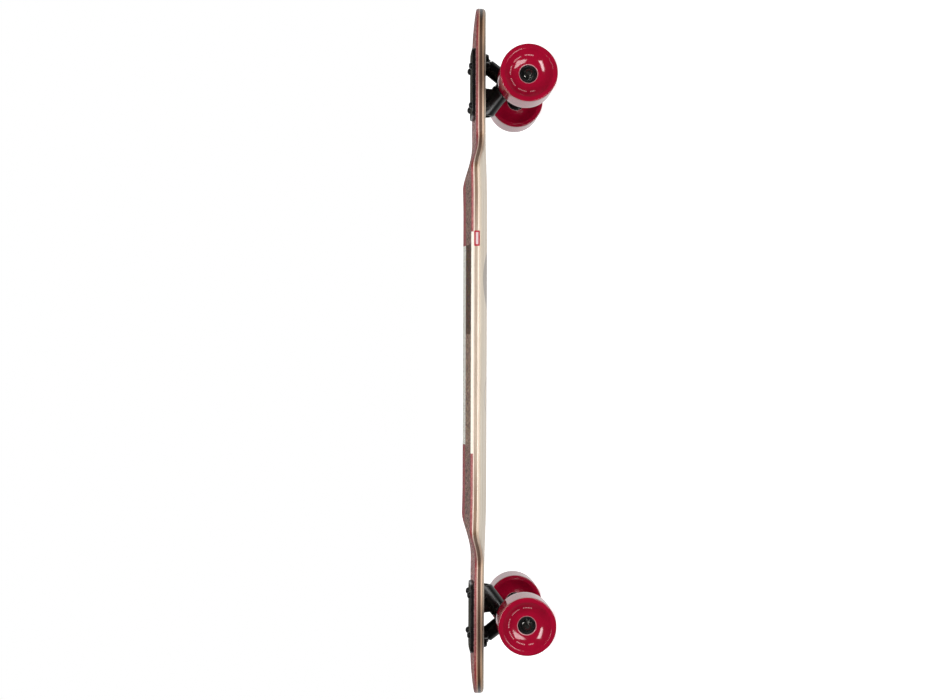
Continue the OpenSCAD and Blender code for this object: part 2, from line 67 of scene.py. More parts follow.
class Graph:
    """A material's node graph, with one short call for each kind of node it needs."""

    def __init__(self, name):
        self.material = bpy.data.materials.new(name)
        self.material.use_nodes = True
        self.tree = self.material.node_tree
        self.bsdf = self.tree.nodes["Principled BSDF"]
        self.place = self.add("ShaderNodeTexCoord").outputs["Object"]

    def add(self, kind, **settings):
        node = self.tree.nodes.new(kind)
        for key, value in settings.items():
            setattr(node, key, value)
        return node

    def plug(self, socket, value):
        """Links a socket to a node's output, or sets it to a number or colour."""
        if isinstance(value, bpy.types.NodeSocket):
            self.tree.links.new(value, socket)
        elif isinstance(value, tuple) and len(value) == 3 and socket.type == "RGBA":
            socket.default_value = (*value, 1)
        else:
            socket.default_value = value

    def set(self, **inputs):
        for key, value in inputs.items():
            self.plug(self.bsdf.inputs[key.replace("_", " ")], value)

    def stretched(self, x, y, z):
        """Coordinates scaled along each axis, for streaks and grain."""
        mapping = self.add("ShaderNodeMapping")
        self.plug(mapping.inputs["Vector"], self.place)
        mapping.inputs["Scale"].default_value = (x, y, z)
        return mapping.outputs["Vector"]

    def noise(self, scale, detail=3.0, roughness=0.55, vector=None):
        node = self.add("ShaderNodeTexNoise")
        self.plug(node.inputs["Vector"], vector or self.place)
        node.inputs["Scale"].default_value = scale
        node.inputs["Detail"].default_value = detail
        node.inputs["Roughness"].default_value = roughness
        return node.outputs["Fac"]

    def cells(self, scale):
        """A random colour for each small cell."""
        node = self.add("ShaderNodeTexVoronoi")
        self.plug(node.inputs["Vector"], self.place)
        node.inputs["Scale"].default_value = scale
        return node.outputs["Color"]

    def math(self, operation, a, b=0.0):
        node = self.add("ShaderNodeMath", operation=operation)
        for socket, value in zip(node.inputs, (a, b)):
            self.plug(socket, value)
        return node.outputs[0]

    def span(self, value, low, high, to_low=0.0, to_high=1.0):
        """value mapped smoothly from low..high to to_low..to_high, held at the ends."""
        node = self.add("ShaderNodeMapRange", interpolation_type="SMOOTHSTEP")
        for key, number in (("Value", value), ("From Min", low), ("From Max", high),
                            ("To Min", to_low), ("To Max", to_high)):
            self.plug(node.inputs[key], number)
        return node.outputs["Result"]

    def mix(self, fac, a, b):
        node = self.add("ShaderNodeMix", data_type="RGBA")
        self.plug(node.inputs["Factor"], fac)
        self.plug(node.inputs["A"], a)
        self.plug(node.inputs["B"], b)
        return node.outputs["Result"]

    def mul(self, colour, shade):
        """A colour darkened or lightened by a number near 1."""
        node = self.add("ShaderNodeVectorMath", operation="SCALE")
        self.plug(node.inputs[0], colour)
        self.plug(node.inputs["Scale"], shade)
        return node.outputs["Vector"]

    def axes(self):
        node = self.add("ShaderNodeSeparateXYZ")
        self.plug(node.inputs[0], self.place)
        return node.outputs

    def tilt(self):
        """Height of the surface's normal: 1 where it faces up, 0 where it is upright."""
        node = self.add("ShaderNodeSeparateXYZ")
        self.plug(node.inputs[0], self.add("ShaderNodeTexCoord").outputs["Normal"])
        return node.outputs["Z"]

    def side_wall(self):
        """1 where the surface is upright, 0 where it is level."""
        return self.span(self.math("ABSOLUTE", self.tilt()), 0.70, 0.90, 1, 0)

    def bump(self, height, distance, strength=1.0):
        node = self.add("ShaderNodeBump")
        self.plug(node.inputs["Strength"], strength)
        node.inputs["Distance"].default_value = distance
        self.plug(node.inputs["Height"], height)
        return node.outputs["Normal"]


# ---- Materials ------------------------------------------------------------------------------------

HUB_R = 11.6 * MM
PRINT_REAR = -135 * MM
PRINT_FRONT = 151.5 * MM
PRINT_SPLIT = 23.5 * MM
PRINT_BLUR = 0.6 * MM
RAIL_PRINT = 18 * MM
CREAM = (0.86, 0.78, 0.66)
RED_PRINT = (0.27, 0.040, 0.042)
GREY_PRINT = (0.30, 0.27, 0.245)
OVAL_X = 92 * MM
OVAL_HALF = (43.5 * MM, 105 * MM)
RING_X = -62 * MM
RING_HALF = (30 * MM, 92 * MM)
RING_HOLE_HALF = (26 * MM, 87 * MM)
# Distances from the centre over which the painted shade on the underside's rim comes in.
NECK_SHADE_START = 240 * MM
NECK_SHADE_END = 330 * MM
BLOCK_RING = 0.635
BLOCKS_PER_RADIAN = 74
GROUPS_PER_RADIAN = 9


def centre_zone(g, x):
    """1 between the two printed end zones of the deck, 0 outside them."""
    front = g.span(x, PRINT_FRONT - PRINT_BLUR, PRINT_FRONT + PRINT_BLUR, 1, 0)
    return g.math("MULTIPLY", front, g.span(x, PRINT_REAR - PRINT_BLUR, PRINT_REAR + PRINT_BLUR))


def along(g, x, stops):
    """A colour that changes with the distance from the centre, given as (distance, colour) stops."""
    distance = g.math("ABSOLUTE", x)
    colour = stops[0][1]
    for (start, _), (end, following) in zip(stops, stops[1:]):
        colour = g.mix(g.span(distance, start, end), colour, following)
    return colour


def grip_material(rim):
    """Coarse mineral grip with printed rails and middle, every grain catching the light differently."""
    g = Graph("grip")
    x, y, _ = g.axes()
    grain = g.noise(760, 4, 0.75)
    flecks = g.noise(260, 3, 0.7)
    chips = g.cells(1300)
    shine = g.span(g.noise(1500, 2, 0.6), 0.60, 0.72)
    split = g.span(x, PRINT_SPLIT - PRINT_BLUR, PRINT_SPLIT + PRINT_BLUR)
    middle = g.mix(split, (0.29, 0.19, 0.135), (0.100, 0.048, 0.027))
    ends = along(g, x, [(0.22, (0.25, 0.15, 0.12)), (0.30, (0.40, 0.23, 0.22)), (0.44, (0.34, 0.17, 0.16))])
    body = g.mul(g.mix(centre_zone(g, x), ends, middle), g.span(flecks, 0.40, 0.60, 0.5, 1.5))
    edge = g.mix(centre_zone(g, x), (0.36, 0.10, 0.10), (0.84, 0.83, 0.76))
    rail = rim - RAIL_PRINT
    near_rail = g.span(g.math("ABSOLUTE", y), rail - 0.5 * MM, rail + 0.5 * MM)
    colour = g.mix(near_rail, body, edge)
    colour = g.mul(colour, g.span(grain, 0.32, 0.68, 0.5, 1.5))
    colour = g.mix(0.10, colour, chips)
    colour = g.mix(g.math("MULTIPLY", shine, 0.25), colour, (0.85, 0.78, 0.74))
    cut_edge = g.mix(centre_zone(g, x), RED_PRINT, CREAM)
    colour = g.mix(g.side_wall(), colour, cut_edge)
    g.set(Base_Color=colour, Roughness=g.span(shine, 0, 1, 0.92, 0.5), Specular_IOR_Level=0.0,
          Normal=g.bump(g.math("ADD", grain, g.math("MULTIPLY", shine, 0.7)), 0.5 * MM, 0.9))
    return g.material


def maple_pores(g):
    """Short pores of cut maple, stretched along the plies."""
    return g.noise(1, 3, 0.6, g.stretched(420, 420, 3600))


def ply_material(name, stops, dark):
    """Sanded edge of maple plies: long streaks, short pores and a clear lacquer."""
    g = Graph(name)
    x, _, _ = g.axes()
    streaks = g.noise(1, 5, 0.6, g.stretched(26, 26, 1500))
    pores = maple_pores(g)
    base = g.mul(along(g, x, stops), g.span(streaks, 0.35, 0.68, 1.04, dark))
    base = g.mul(base, g.span(pores, 0.30, 0.52, 0.74, 1.04))
    g.set(Base_Color=base, Roughness=g.span(streaks, 0.3, 0.7, 0.40, 0.55),
          Normal=g.bump(pores, 0.1 * MM, 0.4))
    g.set(Coat_Weight=0.5, Coat_Roughness=0.16, Coat_IOR=1.5)
    return g.material


def top_veneer_material():
    """Edge of the printed veneer: red at the ends and cream in the middle, with rubbed patches."""
    g = Graph("top_veneer")
    x, _, _ = g.axes()
    pores = maple_pores(g)
    wear = g.noise(300, 4, 0.65)
    red = g.mix(g.span(wear, 0.52, 0.66), RED_PRINT, (0.42, 0.12, 0.11))
    base = g.mul(g.mix(centre_zone(g, x), red, CREAM), g.span(pores, 0.30, 0.52, 0.78, 1.04))
    g.set(Base_Color=base, Roughness=g.span(wear, 0.3, 0.7, 0.40, 0.55), Normal=g.bump(pores, 0.1 * MM, 0.4))
    g.set(Coat_Weight=0.3, Coat_Roughness=0.2)
    return g.material


def oval(g, x, y, centre, half):
    """1 inside an oval on the underside, 0 outside it; half is its half size along and across the board."""
    lengthwise = g.math("POWER", g.math("DIVIDE", g.math("SUBTRACT", x, centre), half[0]), 2)
    reach = g.math("ADD", lengthwise, g.math("POWER", g.math("DIVIDE", y, half[1]), 2))
    return g.span(reach, 0.97, 1.03, 1, 0)


def bottom_material():
    """Clear-coated maple face with a plain printed ring and an oval between the trucks."""
    g = Graph("bottom_veneer")
    x, y, _ = g.axes()
    warp = g.noise(5, 2, 0.5)
    rings = g.noise(1, 6, 0.62, g.stretched(3.2, 62, 62))
    fibres = g.noise(1, 4, 0.7, g.stretched(60, 1900, 1900))
    base = g.mix(g.span(rings, 0.32, 0.72), (0.80, 0.71, 0.58), (0.66, 0.56, 0.43))
    base = g.mul(base, g.span(warp, 0.3, 0.7, 0.95, 1.04))
    base = g.mul(base, g.span(fibres, 0.32, 0.6, 0.88, 1.03))
    shade = g.math("MULTIPLY", oval(g, x, y, OVAL_X, OVAL_HALF), 0.75)
    base = g.mix(shade, base, GREY_PRINT)
    outer = oval(g, x, y, RING_X, RING_HALF)
    inner = oval(g, x, y, RING_X, RING_HOLE_HALF)
    band = g.math("MULTIPLY", g.math("SUBTRACT", outer, inner), 0.65)
    base = g.mix(band, base, GREY_PRINT)
    edge = g.side_wall()
    # Painted shade: the rim's side wall darkens to a fifth of its colour towards the necks and tips, and
    # loses its clear coat there.
    painted_neck_shade = g.math("MULTIPLY", edge, g.span(g.math("ABSOLUTE", x), NECK_SHADE_START, NECK_SHADE_END))
    base = g.mix(painted_neck_shade, base, g.mul(base, 0.20))
    g.set(Base_Color=base, Roughness=g.span(rings, 0.3, 0.7, 0.30, 0.42),
          Specular_IOR_Level=0.1, Normal=g.bump(fibres, 0.08 * MM, 0.3))
    g.set(Coat_Weight=g.math("MULTIPLY", g.math("SUBTRACT", edge, painted_neck_shade), 0.6), Coat_Roughness=0.14)
    return g.material


def cast_material():
    """Satin black powder coat: fine orange peel, with slightly polished and dusty patches."""
    g = Graph("black_cast")
    base, rough = 0.0035, 0.27
    peel = g.noise(900, 3, 0.5)
    patches = g.noise(38, 4, 0.6)
    specks = g.span(g.noise(2400, 2, 0.5), 0.66, 0.74)
    colour = g.mix(g.span(patches, 0.3, 0.75), (base, base, base), (base * 1.9, base * 1.85, base * 1.8))
    colour = g.mix(g.math("MULTIPLY", specks, 0.05), colour, (0.20, 0.19, 0.18))
    dust = g.span(g.tilt(), 0.90, 0.97)
    settled = g.math("MULTIPLY", dust, g.span(peel, 0.35, 0.6, 0.3, 1.0))
    colour = g.mix(settled, colour, (0.10, 0.095, 0.080))
    g.set(Base_Color=colour, Roughness=g.span(patches, 0.3, 0.75, rough - 0.04, rough + 0.10),
          Specular_IOR_Level=g.span(dust, 0, 1, 0.4, 0.0), Normal=g.bump(peel, 0.22 * MM, 0.35))
    return g.material


def metal_material(name, colour, rough, scratch=0.25, metallic=1.0):
    """Plated or ground steel with fine turning marks and a cloudy finish."""
    g = Graph(name)
    marks = g.noise(1, 3, 0.6, g.stretched(5200, 900, 5200))
    clouds = g.noise(160, 4, 0.6)
    shade = g.mul(colour, g.span(clouds, 0.25, 0.75, 0.82, 1.08))
    g.set(Base_Color=shade, Metallic=metallic, Normal=g.bump(marks, 0.05 * MM, scratch),
          Roughness=g.span(clouds, 0.25, 0.75, rough * 0.8, rough * 1.3))
    return g.material


def printed_ring(g, radius, angle_x, dz, wheel_r):
    """A plain ring of small blocks, on the part of the face that is nearest the deck."""
    from_ring = g.math("ABSOLUTE", g.math("SUBTRACT", radius, wheel_r * BLOCK_RING))
    on_ring = g.span(from_ring, 0.60 * MM, 0.85 * MM, 1, 0)
    blocks = g.span(g.math("SINE", g.math("MULTIPLY", angle_x, BLOCKS_PER_RADIAN)), -0.3, 0.1)
    groups = g.span(g.math("SINE", g.math("MULTIPLY", angle_x, GROUPS_PER_RADIAN)), -0.72, -0.60)
    near_deck = g.span(g.math("DIVIDE", dz, radius), -0.36, -0.34)
    return g.math("MULTIPLY", g.math("MULTIPLY", on_ring, blocks), g.math("MULTIPLY", groups, near_deck))


def urethane_material(name, centre, wheel_r, side):
    """Glossy crimson urethane with a plain ring printed on its outer face."""
    g = Graph(name)
    x, y, z = g.axes()
    dx = g.math("SUBTRACT", x, centre.x)
    dz = g.math("SUBTRACT", z, centre.z)
    radius = g.math("SQRT", g.math("ADD", g.math("POWER", dx, 2), g.math("POWER", dz, 2)))
    flow = g.noise(60, 3, 0.5)
    wipe = g.noise(420, 4, 0.6)
    red = g.mix(g.span(flow, 0.3, 0.7), (0.31, 0.0020, 0.022), (0.27, 0.0018, 0.019))
    red = g.mul(red, g.span(wipe, 0.3, 0.75, 0.97, 1.03))
    print_on = printed_ring(g, radius, g.math("ARCTAN2", dx, dz), dz, wheel_r)
    outer = g.span(g.math("MULTIPLY", g.math("SUBTRACT", y, centre.y), side), 12 * MM, 14 * MM)
    red = g.mix(g.math("MULTIPLY", g.math("MULTIPLY", print_on, outer), 0.6), red, (0.85, 0.50, 0.52))
    # Painted highlight: a pale ring on the urethane just outside the hub opening.
    painted_opening_highlight = g.span(radius, HUB_R + 0.6 * MM, HUB_R + 1.2 * MM, 0.7, 0)
    red = g.mix(painted_opening_highlight, red, (0.60, 0.36, 0.38))
    g.set(Base_Color=red, Roughness=g.span(flow, 0.3, 0.7, 0.08, 0.13), IOR=1.5)
    return g.material


def plastic_material(name, colour, rough=0.4, grain=1200, depth=0.12 * MM):
    """Moulded plastic or urethane with a fine skin and slow drifts in tone."""
    g = Graph(name)
    skin = g.noise(grain, 3, 0.55)
    drift = g.noise(70, 3, 0.5)
    g.set(Base_Color=g.mul(colour, g.span(drift, 0.3, 0.7, 0.88, 1.08)),
          Roughness=g.span(drift, 0.3, 0.7, rough - 0.05, rough + 0.08), Normal=g.bump(skin, depth, 0.4))
    return g.material


def sticker_material(low, high):
    """Plain red vinyl with a pale blank bar, without lettering."""
    g = Graph("rail_sticker")
    x, _, z = g.axes()
    middle = (low + high) / 2
    bar_x = g.span(g.math("ABSOLUTE", g.math("SUBTRACT", x, middle.x)), 7.6 * MM, 7.8 * MM, 1, 0)
    bar_z = g.span(g.math("ABSOLUTE", g.math("SUBTRACT", z, middle.z)), 1.4 * MM, 1.8 * MM, 1, 0)
    ink = g.noise(900, 3, 0.5)
    colour = g.mix(g.math("MULTIPLY", bar_x, bar_z), (0.38, 0.008, 0.025), (0.62, 0.47, 0.49))
    g.set(Base_Color=g.mul(colour, g.span(ink, 0.3, 0.7, 0.95, 1.03)),
          Roughness=g.span(ink, 0.3, 0.7, 0.25, 0.35), Specular_IOR_Level=0.25)
    return g.material


# ---- Mesh building ----------------------------------------------------------------------------------

WELD = 1e-7


def finish_mesh(name, verts, faces, material, sharp=32):
    """A closed mesh object with outward faces, smooth except where it turns by more than sharp degrees."""
    mesh = bpy.data.meshes.new(name)
    mesh.from_pydata([tuple(v) for v in verts], [], faces)
    work = bmesh.new()
    work.from_mesh(mesh)
    bmesh.ops.remove_doubles(work, verts=work.verts, dist=WELD)
    bmesh.ops.recalc_face_normals(work, faces=work.faces)
    work.to_mesh(mesh)
    work.free()
    mesh.polygons.foreach_set("use_smooth", [True] * len(mesh.polygons))
    mesh.set_sharp_from_angle(angle=math.radians(sharp))
    mesh.materials.append(material)
    piece = bpy.data.objects.new(name, mesh)
    bpy.context.scene.collection.objects.link(piece)
    return piece


def lathe(name, profile, centre, axis, material, steps, sharp=32):
    """Turns a closed profile of (radius, height) points, none on the axis, about axis through centre."""
    turn = Vector((0, 0, 1)).rotation_difference(Vector(axis).normalized()).to_matrix()
    verts = []
    for r, h in profile:
        for k in range(steps):
            a = 2 * math.pi * k / steps
            verts.append(turn @ Vector((r * math.cos(a), r * math.sin(a), h)) + centre)
    faces = []
    for i in range(len(profile)):
        j = (i + 1) % len(profile)
        for k in range(steps):
            m = (k + 1) % steps
            faces.append((i * steps + k, i * steps + m, j * steps + m, j * steps + k))
    return finish_mesh(name, verts, faces, material, sharp)


def arc(cx, cy, r, start, end, steps):
    """Points of an arc, angles in degrees."""
    angles = [math.radians(start + (end - start) * i / steps) for i in range(steps + 1)]
    return [(cx + r * math.cos(a), cy + r * math.sin(a)) for a in angles]


# ---- Deck -------------------------------------------------------------------------------------------

LAYERS = ["bottom_veneer", "lower_core_ply", "middle_core_plies",
          "upper_core_ply", "top_veneer", "grip_sheet"]
GRIP_THICKNESS = 0.9 * MM
HALF_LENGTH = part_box("grip_sheet")[1].x
HALF_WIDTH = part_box("grip_sheet")[1].y
DECK_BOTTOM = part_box("bottom_veneer")[0].z
CONCAVE_RADIUS = 539 * MM
BEND_Z = DECK_BOTTOM + CONCAVE_RADIUS
NECK_HALF = 53 * MM
FLARE_START = 233 * MM
FLARE_END = 292 * MM
AXLE_X = JOINTS["front_steer"]["pos_m"][0]
CUTOUT_IN = AXLE_X - 38 * MM
CUTOUT_OUT = AXLE_X + 50 * MM
CUTOUT_HALF = 15.5 * MM
CUTOUT_R = 6 * MM
BOLT_PITCH = (53.98 * MM, 41.28 * MM)
BOLT_X = AXLE_X + 2.3 * MM
BOLT_HOLE_R = 2.75 * MM
NECK_RISE = 2.6 * MM
RAMP_START = 190 * MM
RAMP_END = 315 * MM
RAIL_TOP_R = 2.8 * MM
RAIL_BOTTOM_R = 5.2 * MM
ROW_STEP = 6.1 * MM
COLUMN_STEP = 9 * MM
RIM_GAP = 5.2 * MM
HOLE_GAP = 2 * MM

depths = [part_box(n)[0].z - DECK_BOTTOM for n in LAYERS]
depths.append(depths[-1] + GRIP_THICKNESS)
DECK_THICKNESS = depths[-1]


def rail_inset(depth):
    """How far the rounded rail is drawn in at a depth above the underside."""
    low = max(0.0, RAIL_BOTTOM_R - depth)
    high = max(0.0, RAIL_TOP_R - (DECK_THICKNESS - depth))
    return (RAIL_BOTTOM_R - math.sqrt(max(0.0, RAIL_BOTTOM_R ** 2 - low ** 2))
            + RAIL_TOP_R - math.sqrt(max(0.0, RAIL_TOP_R ** 2 - high ** 2)))


def neck_rise(x):
    """How far the deck stands above the platform's level at a distance along the board."""
    t = np.clip((np.abs(x) - RAMP_START) / (RAMP_END - RAMP_START), 0, 1)
    return NECK_RISE * t * t * (3 - 2 * t)


def deck_outline():
    """The deck's outline, counter-clockwise, as the CAD draws it but finer."""
    quarter = [(x, HALF_WIDTH) for x in np.arange(0, FLARE_START - 1 * MM, 8 * MM)]
    for t in np.linspace(0, 1, 40):
        x = FLARE_START + (FLARE_END - FLARE_START) * t
        quarter.append((x, NECK_HALF + (HALF_WIDTH - NECK_HALF) * (1 + math.cos(math.pi * t)) / 2))
    end_x = HALF_LENGTH - NECK_HALF
    quarter += [(x, NECK_HALF) for x in np.arange(FLARE_END + 6 * MM, end_x - 3 * MM, 6 * MM)]
    quarter += arc(end_x, 0, NECK_HALF, 90, 0, 36)
    front = quarter + [(x, -y) for x, y in reversed(quarter[:-1])]
    rear = [(-x, y) for x, y in reversed(front)]
    points = front + rear[1:-1]
    return np.array(points[::-1])


def cutout(end):
    """The rounded opening that a baseplate drops through."""
    c = CUTOUT_R
    low, high, half = CUTOUT_IN, CUTOUT_OUT, CUTOUT_HALF
    points = (arc(high - c, half - c, c, 0, 90, 8) + arc(low + c, half - c, c, 90, 180, 8)
              + arc(low + c, c - half, c, 180, 270, 8) + arc(high - c, c - half, c, 270, 360, 8))
    return np.array([(end * x, y) for x, y in points])


def inside(points, loop):
    """Which points lie inside a closed loop."""
    hit = np.zeros(len(points), bool)
    for (x0, y0), (x1, y1) in zip(loop, np.roll(loop, -1, axis=0)):
        crosses = (y0 > points[:, 1]) != (y1 > points[:, 1])
        slope = (x1 - x0) / (y1 - y0) if y1 != y0 else 0.0
        hit ^= crosses & (points[:, 0] < x0 + slope * (points[:, 1] - y0))
    return hit


def near_loop(points, loop, gap):
    """Which points lie closer to a closed loop than gap."""
    close = np.zeros(len(points), bool)
    for p, q in zip(loop, np.roll(loop, -1, axis=0)):
        d = q - p
        t = np.clip(((points - p) @ d) / (d @ d), 0, 1)
        close |= np.linalg.norm(points - (p + t[:, None] * d), axis=1) < gap
    return close


class Sheet:
    """Flat triangulation of the deck's plan, shared by every ply, with its boundary loops."""

    def __init__(self):
        outline = deck_outline()
        holes = [cutout(s) for s in ENDS.values()]
        for s in ENDS.values():
            for i in (-1, 1):
                for j in (-1, 1):
                    x = s * BOLT_X + i * BOLT_PITCH[0] / 2
                    holes.append(np.array(arc(x, j * BOLT_PITCH[1] / 2, BOLT_HOLE_R, 0, 345, 23)))
        rows = np.arange(-HALF_WIDTH, HALF_WIDTH, ROW_STEP)
        gx, gy = np.meshgrid(np.arange(-HALF_LENGTH, HALF_LENGTH, COLUMN_STEP), rows)
        grid = np.stack([gx.ravel(), gy.ravel()], axis=1)
        keep = inside(grid, outline) & ~near_loop(grid, outline, RIM_GAP)
        for hole in holes:
            keep &= ~inside(grid, hole) & ~near_loop(grid, hole, HOLE_GAP)
        grid = grid[keep]
        loops, points, edges = [], [], []
        for loop in [outline] + holes:
            first = len(points)
            points += [tuple(p) for p in loop]
            ids = list(range(first, first + len(loop)))
            loops.append(ids)
            edges += list(zip(ids, ids[1:] + ids[:1]))
        points += [tuple(p) for p in grid]
        got, _, faces, origin, _, _ = delaunay_2d_cdt([Vector(p) for p in points], edges, [], 0, WELD)
        to_input = [o[0] for o in origin]
        self.flat = np.array(points)
        tris = [[to_input[i] for i in f] for f in faces]
        middles = np.array([self.flat[t].mean(axis=0) for t in tris])
        good = inside(middles, outline)
        for hole in holes:
            good &= ~inside(middles, hole)
        self.tris = [t for t, ok in zip(tris, good) if ok]
        self.loops = loops
        ring = self.flat[loops[0]]
        tangent = np.roll(ring, -1, axis=0) - np.roll(ring, 1, axis=0)
        tangent /= np.linalg.norm(tangent, axis=1)[:, None]
        inward = np.stack([-tangent[:, 1], tangent[:, 0]], axis=1)
        probe = inside(ring + inward * MM, outline)
        self.inward = inward if probe.mean() > 0.5 else -inward

    def at(self, depth):
        """Every point of the plan, bent to the concave at a depth above the underside."""
        flat = self.flat.copy()
        flat[self.loops[0]] += self.inward * rail_inset(depth)
        z = BEND_Z - np.sqrt((CONCAVE_RADIUS - depth) ** 2 - flat[:, 1] ** 2)
        return np.column_stack([flat, z + neck_rise(flat[:, 0])])


def layer_piece(sheet, node, low, high, material):
    """One ply as a closed solid, with extra rows around its edge where the rail is rounded."""
    rows = 5
    levels = np.linspace(low, high, rows)
    bottom, top = sheet.at(low), sheet.at(high)
    n = len(bottom)
    verts = list(bottom) + list(top)
    faces = [tuple(t) for t in sheet.tris] + [tuple(n + i for i in t) for t in sheet.tris]
    rim = [i for loop in sheet.loops for i in loop]
    start = {0: dict(zip(rim, rim)), rows - 1: {i: n + i for i in rim}}
    for level in range(1, rows - 1):
        placed = sheet.at(levels[level])
        start[level] = {}
        for i in rim:
            start[level][i] = len(verts)
            verts.append(placed[i])
    for level in range(rows - 1):
        a, b = start[level], start[level + 1]
        for loop in sheet.loops:
            for i, j in zip(loop, loop[1:] + loop[:1]):
                faces.append((a[i], a[j], b[j], b[i]))
    piece = finish_mesh("laminate_" + node, verts, faces, material, 40)
    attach(piece, "deck")
    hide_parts(node)
    return piece


def build_deck():
    """The six layers of the deck, each in its own material; stops are metres from the centre."""
    sheet = Sheet()
    # Painted shade: each ply's colour darkens from its own tone near the centre towards the necks and the
    # tip; the middle plies are also a darker wood of their own.
    dark = [(0.12, (0.46, 0.35, 0.26)), (0.21, (0.25, 0.15, 0.09)), (0.30, (0.13, 0.066, 0.035)),
            (0.43, (0.10, 0.050, 0.025)), (0.462, (0.02, 0.010, 0.004))]
    lower = [(0.20, (0.78, 0.63, 0.49)), (0.30, (0.72, 0.51, 0.36)), (0.462, (0.50, 0.31, 0.19))]
    upper = [(0.20, (0.80, 0.66, 0.56)), (0.30, (0.78, 0.54, 0.44)), (0.462, (0.66, 0.36, 0.24))]
    looks = {
        "bottom_veneer": bottom_material(),
        "lower_core_ply": ply_material("lower_ply", lower, 0.85),
        "middle_core_plies": ply_material("middle_plies", dark, 0.66),
        "upper_core_ply": ply_material("upper_ply", upper, 0.85),
        "top_veneer": top_veneer_material(),
        "grip_sheet": grip_material(HALF_WIDTH),
    }
    for k, node in enumerate(LAYERS):
        piece = layer_piece(sheet, node, depths[k], depths[k + 1], looks[node])


def build_sticker():
    """A thin plain sticker that follows the rounded rail on the board's right side."""
    depth_low, depth_high = 1.9 * MM, 8.8 * MM
    start, end = 133 * MM, 153 * MM
    corner, film = 1.0 * MM, 0.12 * MM
    rows, columns = 12, 8
    verts, faces = [], []
    for lift in (0, film):
        for i in range(rows + 1):
            depth = depth_low + (depth_high - depth_low) * i / rows
            edge = min(depth - depth_low, depth_high - depth)
            trim = corner - math.sqrt(corner ** 2 - max(0.0, corner - edge) ** 2)
            y = rail_inset(depth) - HALF_WIDTH - lift
            z = BEND_Z - math.sqrt((CONCAVE_RADIUS - depth) ** 2 - y ** 2)
            verts += [(start + trim + (end - start - 2 * trim) * j / columns, y, z)
                      for j in range(columns + 1)]
    wide = columns + 1
    layer = wide * (rows + 1)
    for i in range(rows):
        for j in range(columns):
            a = i * wide + j
            faces.append((a, a + 1, a + wide + 1, a + wide))
            faces.append((layer + a, layer + a + wide, layer + a + wide + 1, layer + a + 1))
    rim = list(range(columns)) + [columns + wide * i for i in range(rows)]
    rim += [layer - 1 - j for j in range(columns)] + [wide * (rows - i) for i in range(rows)]
    for a, b in zip(rim, rim[1:] + rim[:1]):
        faces.append((a, b, layer + b, layer + a))
    low, high = Vector(verts[0]), Vector(verts[-1])
    piece = finish_mesh("rail_sticker", verts, faces, sticker_material(low, high), 40)
    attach(piece, "deck")


# ---- Trucks -----------------------------------------------------------------------------------------


CAST_VOXEL = 0.9 * MM
CAST_ROUNDS = 5
CAST_KEEP = 0.35
RING_OFFSET = 20.7 * MM
BUSHING_R = 11.3 * MM
BUSHING_BORE = 4.95 * MM
BUSHING_LOW = 4.02 * MM
BUSHING_HIGH = 16.98 * MM
BUSHING_EDGE = 0.8 * MM
BUSHING_WAIST = 0.25 * MM
CONE_DRAW_IN = 1.9 * MM
CONE_EDGE = 0.7 * MM


def casting(node, body, material):
    """A cast copy of a CAD node: remeshed and relaxed, so that its edges and inside corners are rounded."""
    source = frame["nodes"][node]
    piece = bpy.data.objects.new("cast_" + node, source.data.copy())
    bpy.context.scene.collection.objects.link(piece)
    remesh = piece.modifiers.new("remesh", "REMESH")
    remesh.mode = "VOXEL"
    remesh.voxel_size = CAST_VOXEL
    remesh.use_smooth_shade = True
    relax = piece.modifiers.new("relax", "SMOOTH")
    relax.factor = 0.5
    relax.iterations = CAST_ROUNDS
    thin = piece.modifiers.new("thin", "DECIMATE")
    thin.ratio = CAST_KEEP
    graph = bpy.context.evaluated_depsgraph_get()
    mesh = bpy.data.meshes.new_from_object(piece.evaluated_get(graph))
    piece.modifiers.clear()
    piece.data = mesh
    mesh.materials.clear()
    mesh.materials.append(material)
    mesh.polygons.foreach_set("use_smooth", [True] * len(mesh.polygons))
    mesh.set_sharp_from_angle(angle=math.radians(60))
    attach(piece, body)
    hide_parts(node)


def kingpin_frame(end):
    """Centre of the hanger's ring and direction of the kingpin towards the deck, for one truck."""
    joint = JOINTS[end + "_steer"]
    steer = Vector(joint["axis"]).normalized()
    ring = Vector(joint["pos_m"]) + steer * RING_OFFSET
    return ring, Vector((-steer.z * ENDS[end], 0, abs(steer.x)))


def waist_profile(low, high):
    """Outer side of the board-side bushing: a barrel with a slight waist and rounded edges."""
    side = BUSHING_R - BUSHING_EDGE
    points = arc(side, low + BUSHING_EDGE, BUSHING_EDGE, -90, 0, 4)
    points += [(BUSHING_R - BUSHING_WAIST * math.sin(math.pi * t), low + (high - low) * (0.1 + 0.8 * t))
               for t in np.linspace(0, 1, 9)]
    return points + arc(side, high - BUSHING_EDGE, BUSHING_EDGE, 0, 90, 4)


def cone_profile(low, high):
    """Outer side of the road-side bushing: a blunt cone that narrows towards its washer."""
    tip = BUSHING_R - CONE_DRAW_IN
    points = arc(BUSHING_R - BUSHING_EDGE, low + BUSHING_EDGE, BUSHING_EDGE, -90, 0, 4)
    points += [(BUSHING_R + (tip - BUSHING_R) * t, low + (high - low) * (0.08 + 0.84 * t))
               for t in np.linspace(0.1, 0.95, 8)]
    return points + arc(tip - CONE_EDGE, high - CONE_EDGE, CONE_EDGE, 0, 90, 4)


def bushing(end, kind, material):
    """A cast urethane bushing that is squeezed between the hanger's ring and its washer."""
    ring, up = kingpin_frame(end)
    low, high = BUSHING_LOW, BUSHING_HIGH
    outer = waist_profile(low, high) if kind == "boardside" else cone_profile(low, high)
    profile = [(BUSHING_BORE, low)] + outer + [(BUSHING_BORE, high)]
    direction = up if kind == "boardside" else -up
    name = f"{end}_{kind}_bushing"
    piece = lathe(name + "_urethane", profile, ring, direction, material, 64)
    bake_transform(piece)
    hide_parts(name)


